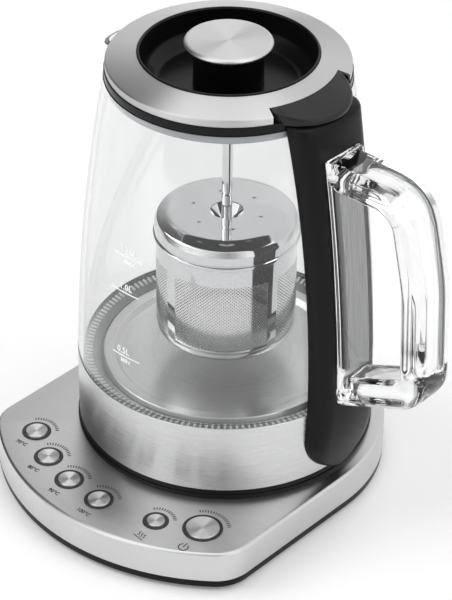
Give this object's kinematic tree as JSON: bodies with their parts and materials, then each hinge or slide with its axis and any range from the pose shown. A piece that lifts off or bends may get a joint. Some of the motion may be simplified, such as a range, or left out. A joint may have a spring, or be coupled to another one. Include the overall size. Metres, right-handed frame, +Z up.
{
  "type": "automatic tea maker",
  "caption": "Cordless glass jug with a clear looped handle and a lift-up steel tea basket on a rod, standing on a heated steel base with a row of temperature buttons.",
  "frame": {"origin": "on the jug's upright axis in the plane of the base's rubber feet", "axes": "+Z up; +X towards the handle, so the spout points along -X; -Y towards the buttons"},
  "size_m": [0.2091, 0.1955, 0.2308],
  "materials": {
    "steel_brushed": "brushed stainless steel",
    "steel_polished": "polished stainless steel",
    "steel_spun": "spun stainless steel",
    "steel_mesh": "finely perforated stainless steel",
    "steel_heater": "satin stainless steel",
    "black_gloss": "gloss black moulding",
    "black_satin": "satin black moulding",
    "black_matte": "matt black moulding",
    "clear_glass": "clear borosilicate glass",
    "clear_acrylic": "clear acrylic",
    "grey_insert": "satin grey foil",
    "clear_silicone": "translucent silicone",
    "rubber_black": "matt black rubber",
    "brass": "bare brass",
    "zinc_screw": "zinc-plated steel",
    "aluminium_bare": "bare aluminium",
    "board_green": "green solder mask",
    "component_dark": "dark moulded housing",
    "component_blue": "blue moulded housing",
    "bush_white": "off-white bearing plastic"
  },
  "bodies": {
    "base": {"base_shell": "steel_brushed", "base_tray": "black_matte", "cord_grommet": "rubber_black", "rubber_feet": "rubber_black", "base_screws": "zinc_screw", "seat_plate": "black_gloss", "connector_socket": "black_satin", "base_connector": "black_satin", "base_contacts": "brass", "control_board": "board_green", "push_switches": "component_dark", "power_board": "board_green", "power_relay": "component_blue", "supply_parts": "component_dark", "button_bezels": "black_satin"},
    "key_70c": {"button_70c": "steel_spun"},
    "key_80c": {"button_80c": "steel_spun"},
    "key_90c": {"button_90c": "steel_spun"},
    "key_100c": {"button_100c": "steel_spun"},
    "key_keep_warm": {"button_keep_warm": "steel_spun"},
    "key_start": {"button_start": "steel_spun"},
    "connector": {"jug_connector": "black_satin", "jug_contacts": "brass"},
    "jug": {"jug_bottom_cover": "black_gloss", "cover_screws": "zinc_screw", "heater_band": "steel_brushed", "heating_plate": "steel_heater", "heat_spreader": "aluminium_bare", "heating_element": "steel_heater", "temperature_sensor": "brass", "overheat_cutout": "component_dark", "glass_seal": "clear_silicone", "glass_jug": "clear_glass", "handle_spine": "black_satin", "handle_insert": "grey_insert", "handle_grip": "clear_acrylic", "handle_screws": "zinc_screw"},
    "lid": {"lid_ring": "steel_brushed", "lid_body": "black_gloss", "lid_tab": "black_satin", "lid_seal": "clear_silicone", "lid_underplate": "steel_heater", "lid_screws": "zinc_screw", "lid_bush": "bush_white", "detent_ring": "zinc_screw"},
    "infuser": {"knob_boss": "black_gloss", "knob_cap": "steel_spun", "infuser_rod": "steel_polished", "basket_cap": "steel_polished", "cap_collar": "steel_polished", "rod_clip": "zinc_screw"},
    "basket": {"basket_shell": "steel_polished", "basket_screens": "steel_mesh", "floor_screen": "steel_mesh"}
  },
  "joints": [
    {"name": "jug_lift", "type": "slide", "parent": "base", "child": "connector", "axis": [0, 0, 1], "range_m": [0, 0.06]},
    {"name": "jug_turn", "type": "hinge", "parent": "connector", "child": "jug", "pos_m": [0, 0, 0.03], "axis": [0, 0, 1], "continuous": true},
    {"name": "lid_lift", "type": "slide", "parent": "jug", "child": "lid", "axis": [0, 0, 1], "range_m": [0, 0.15]},
    {"name": "infuser_lift", "type": "slide", "parent": "lid", "child": "infuser", "axis": [0, 0, 1], "range_m": [0, 0.054]},
    {"name": "basket_pull", "type": "slide", "parent": "infuser", "child": "basket", "axis": [0, 0, -1], "range_m": [0, 0.012]},
    {"name": "press_70c", "type": "slide", "parent": "base", "child": "key_70c", "axis": [0, 0, -1], "range_m": [0, 0.0008], "stiffness_N_per_m": 600, "springref_m": -0.001},
    {"name": "press_80c", "type": "slide", "parent": "base", "child": "key_80c", "axis": [0, 0, -1], "range_m": [0, 0.0008], "stiffness_N_per_m": 600, "springref_m": -0.001},
    {"name": "press_90c", "type": "slide", "parent": "base", "child": "key_90c", "axis": [0, 0, -1], "range_m": [0, 0.0008], "stiffness_N_per_m": 600, "springref_m": -0.001},
    {"name": "press_100c", "type": "slide", "parent": "base", "child": "key_100c", "axis": [0, 0, -1], "range_m": [0, 0.0008], "stiffness_N_per_m": 600, "springref_m": -0.001},
    {"name": "press_keep_warm", "type": "slide", "parent": "base", "child": "key_keep_warm", "axis": [0, 0, -1], "range_m": [0, 0.0008], "stiffness_N_per_m": 600, "springref_m": -0.001},
    {"name": "press_start", "type": "slide", "parent": "base", "child": "key_start", "axis": [0, 0, -1], "range_m": [0, 0.0008], "stiffness_N_per_m": 600, "springref_m": -0.001}
  ]
}
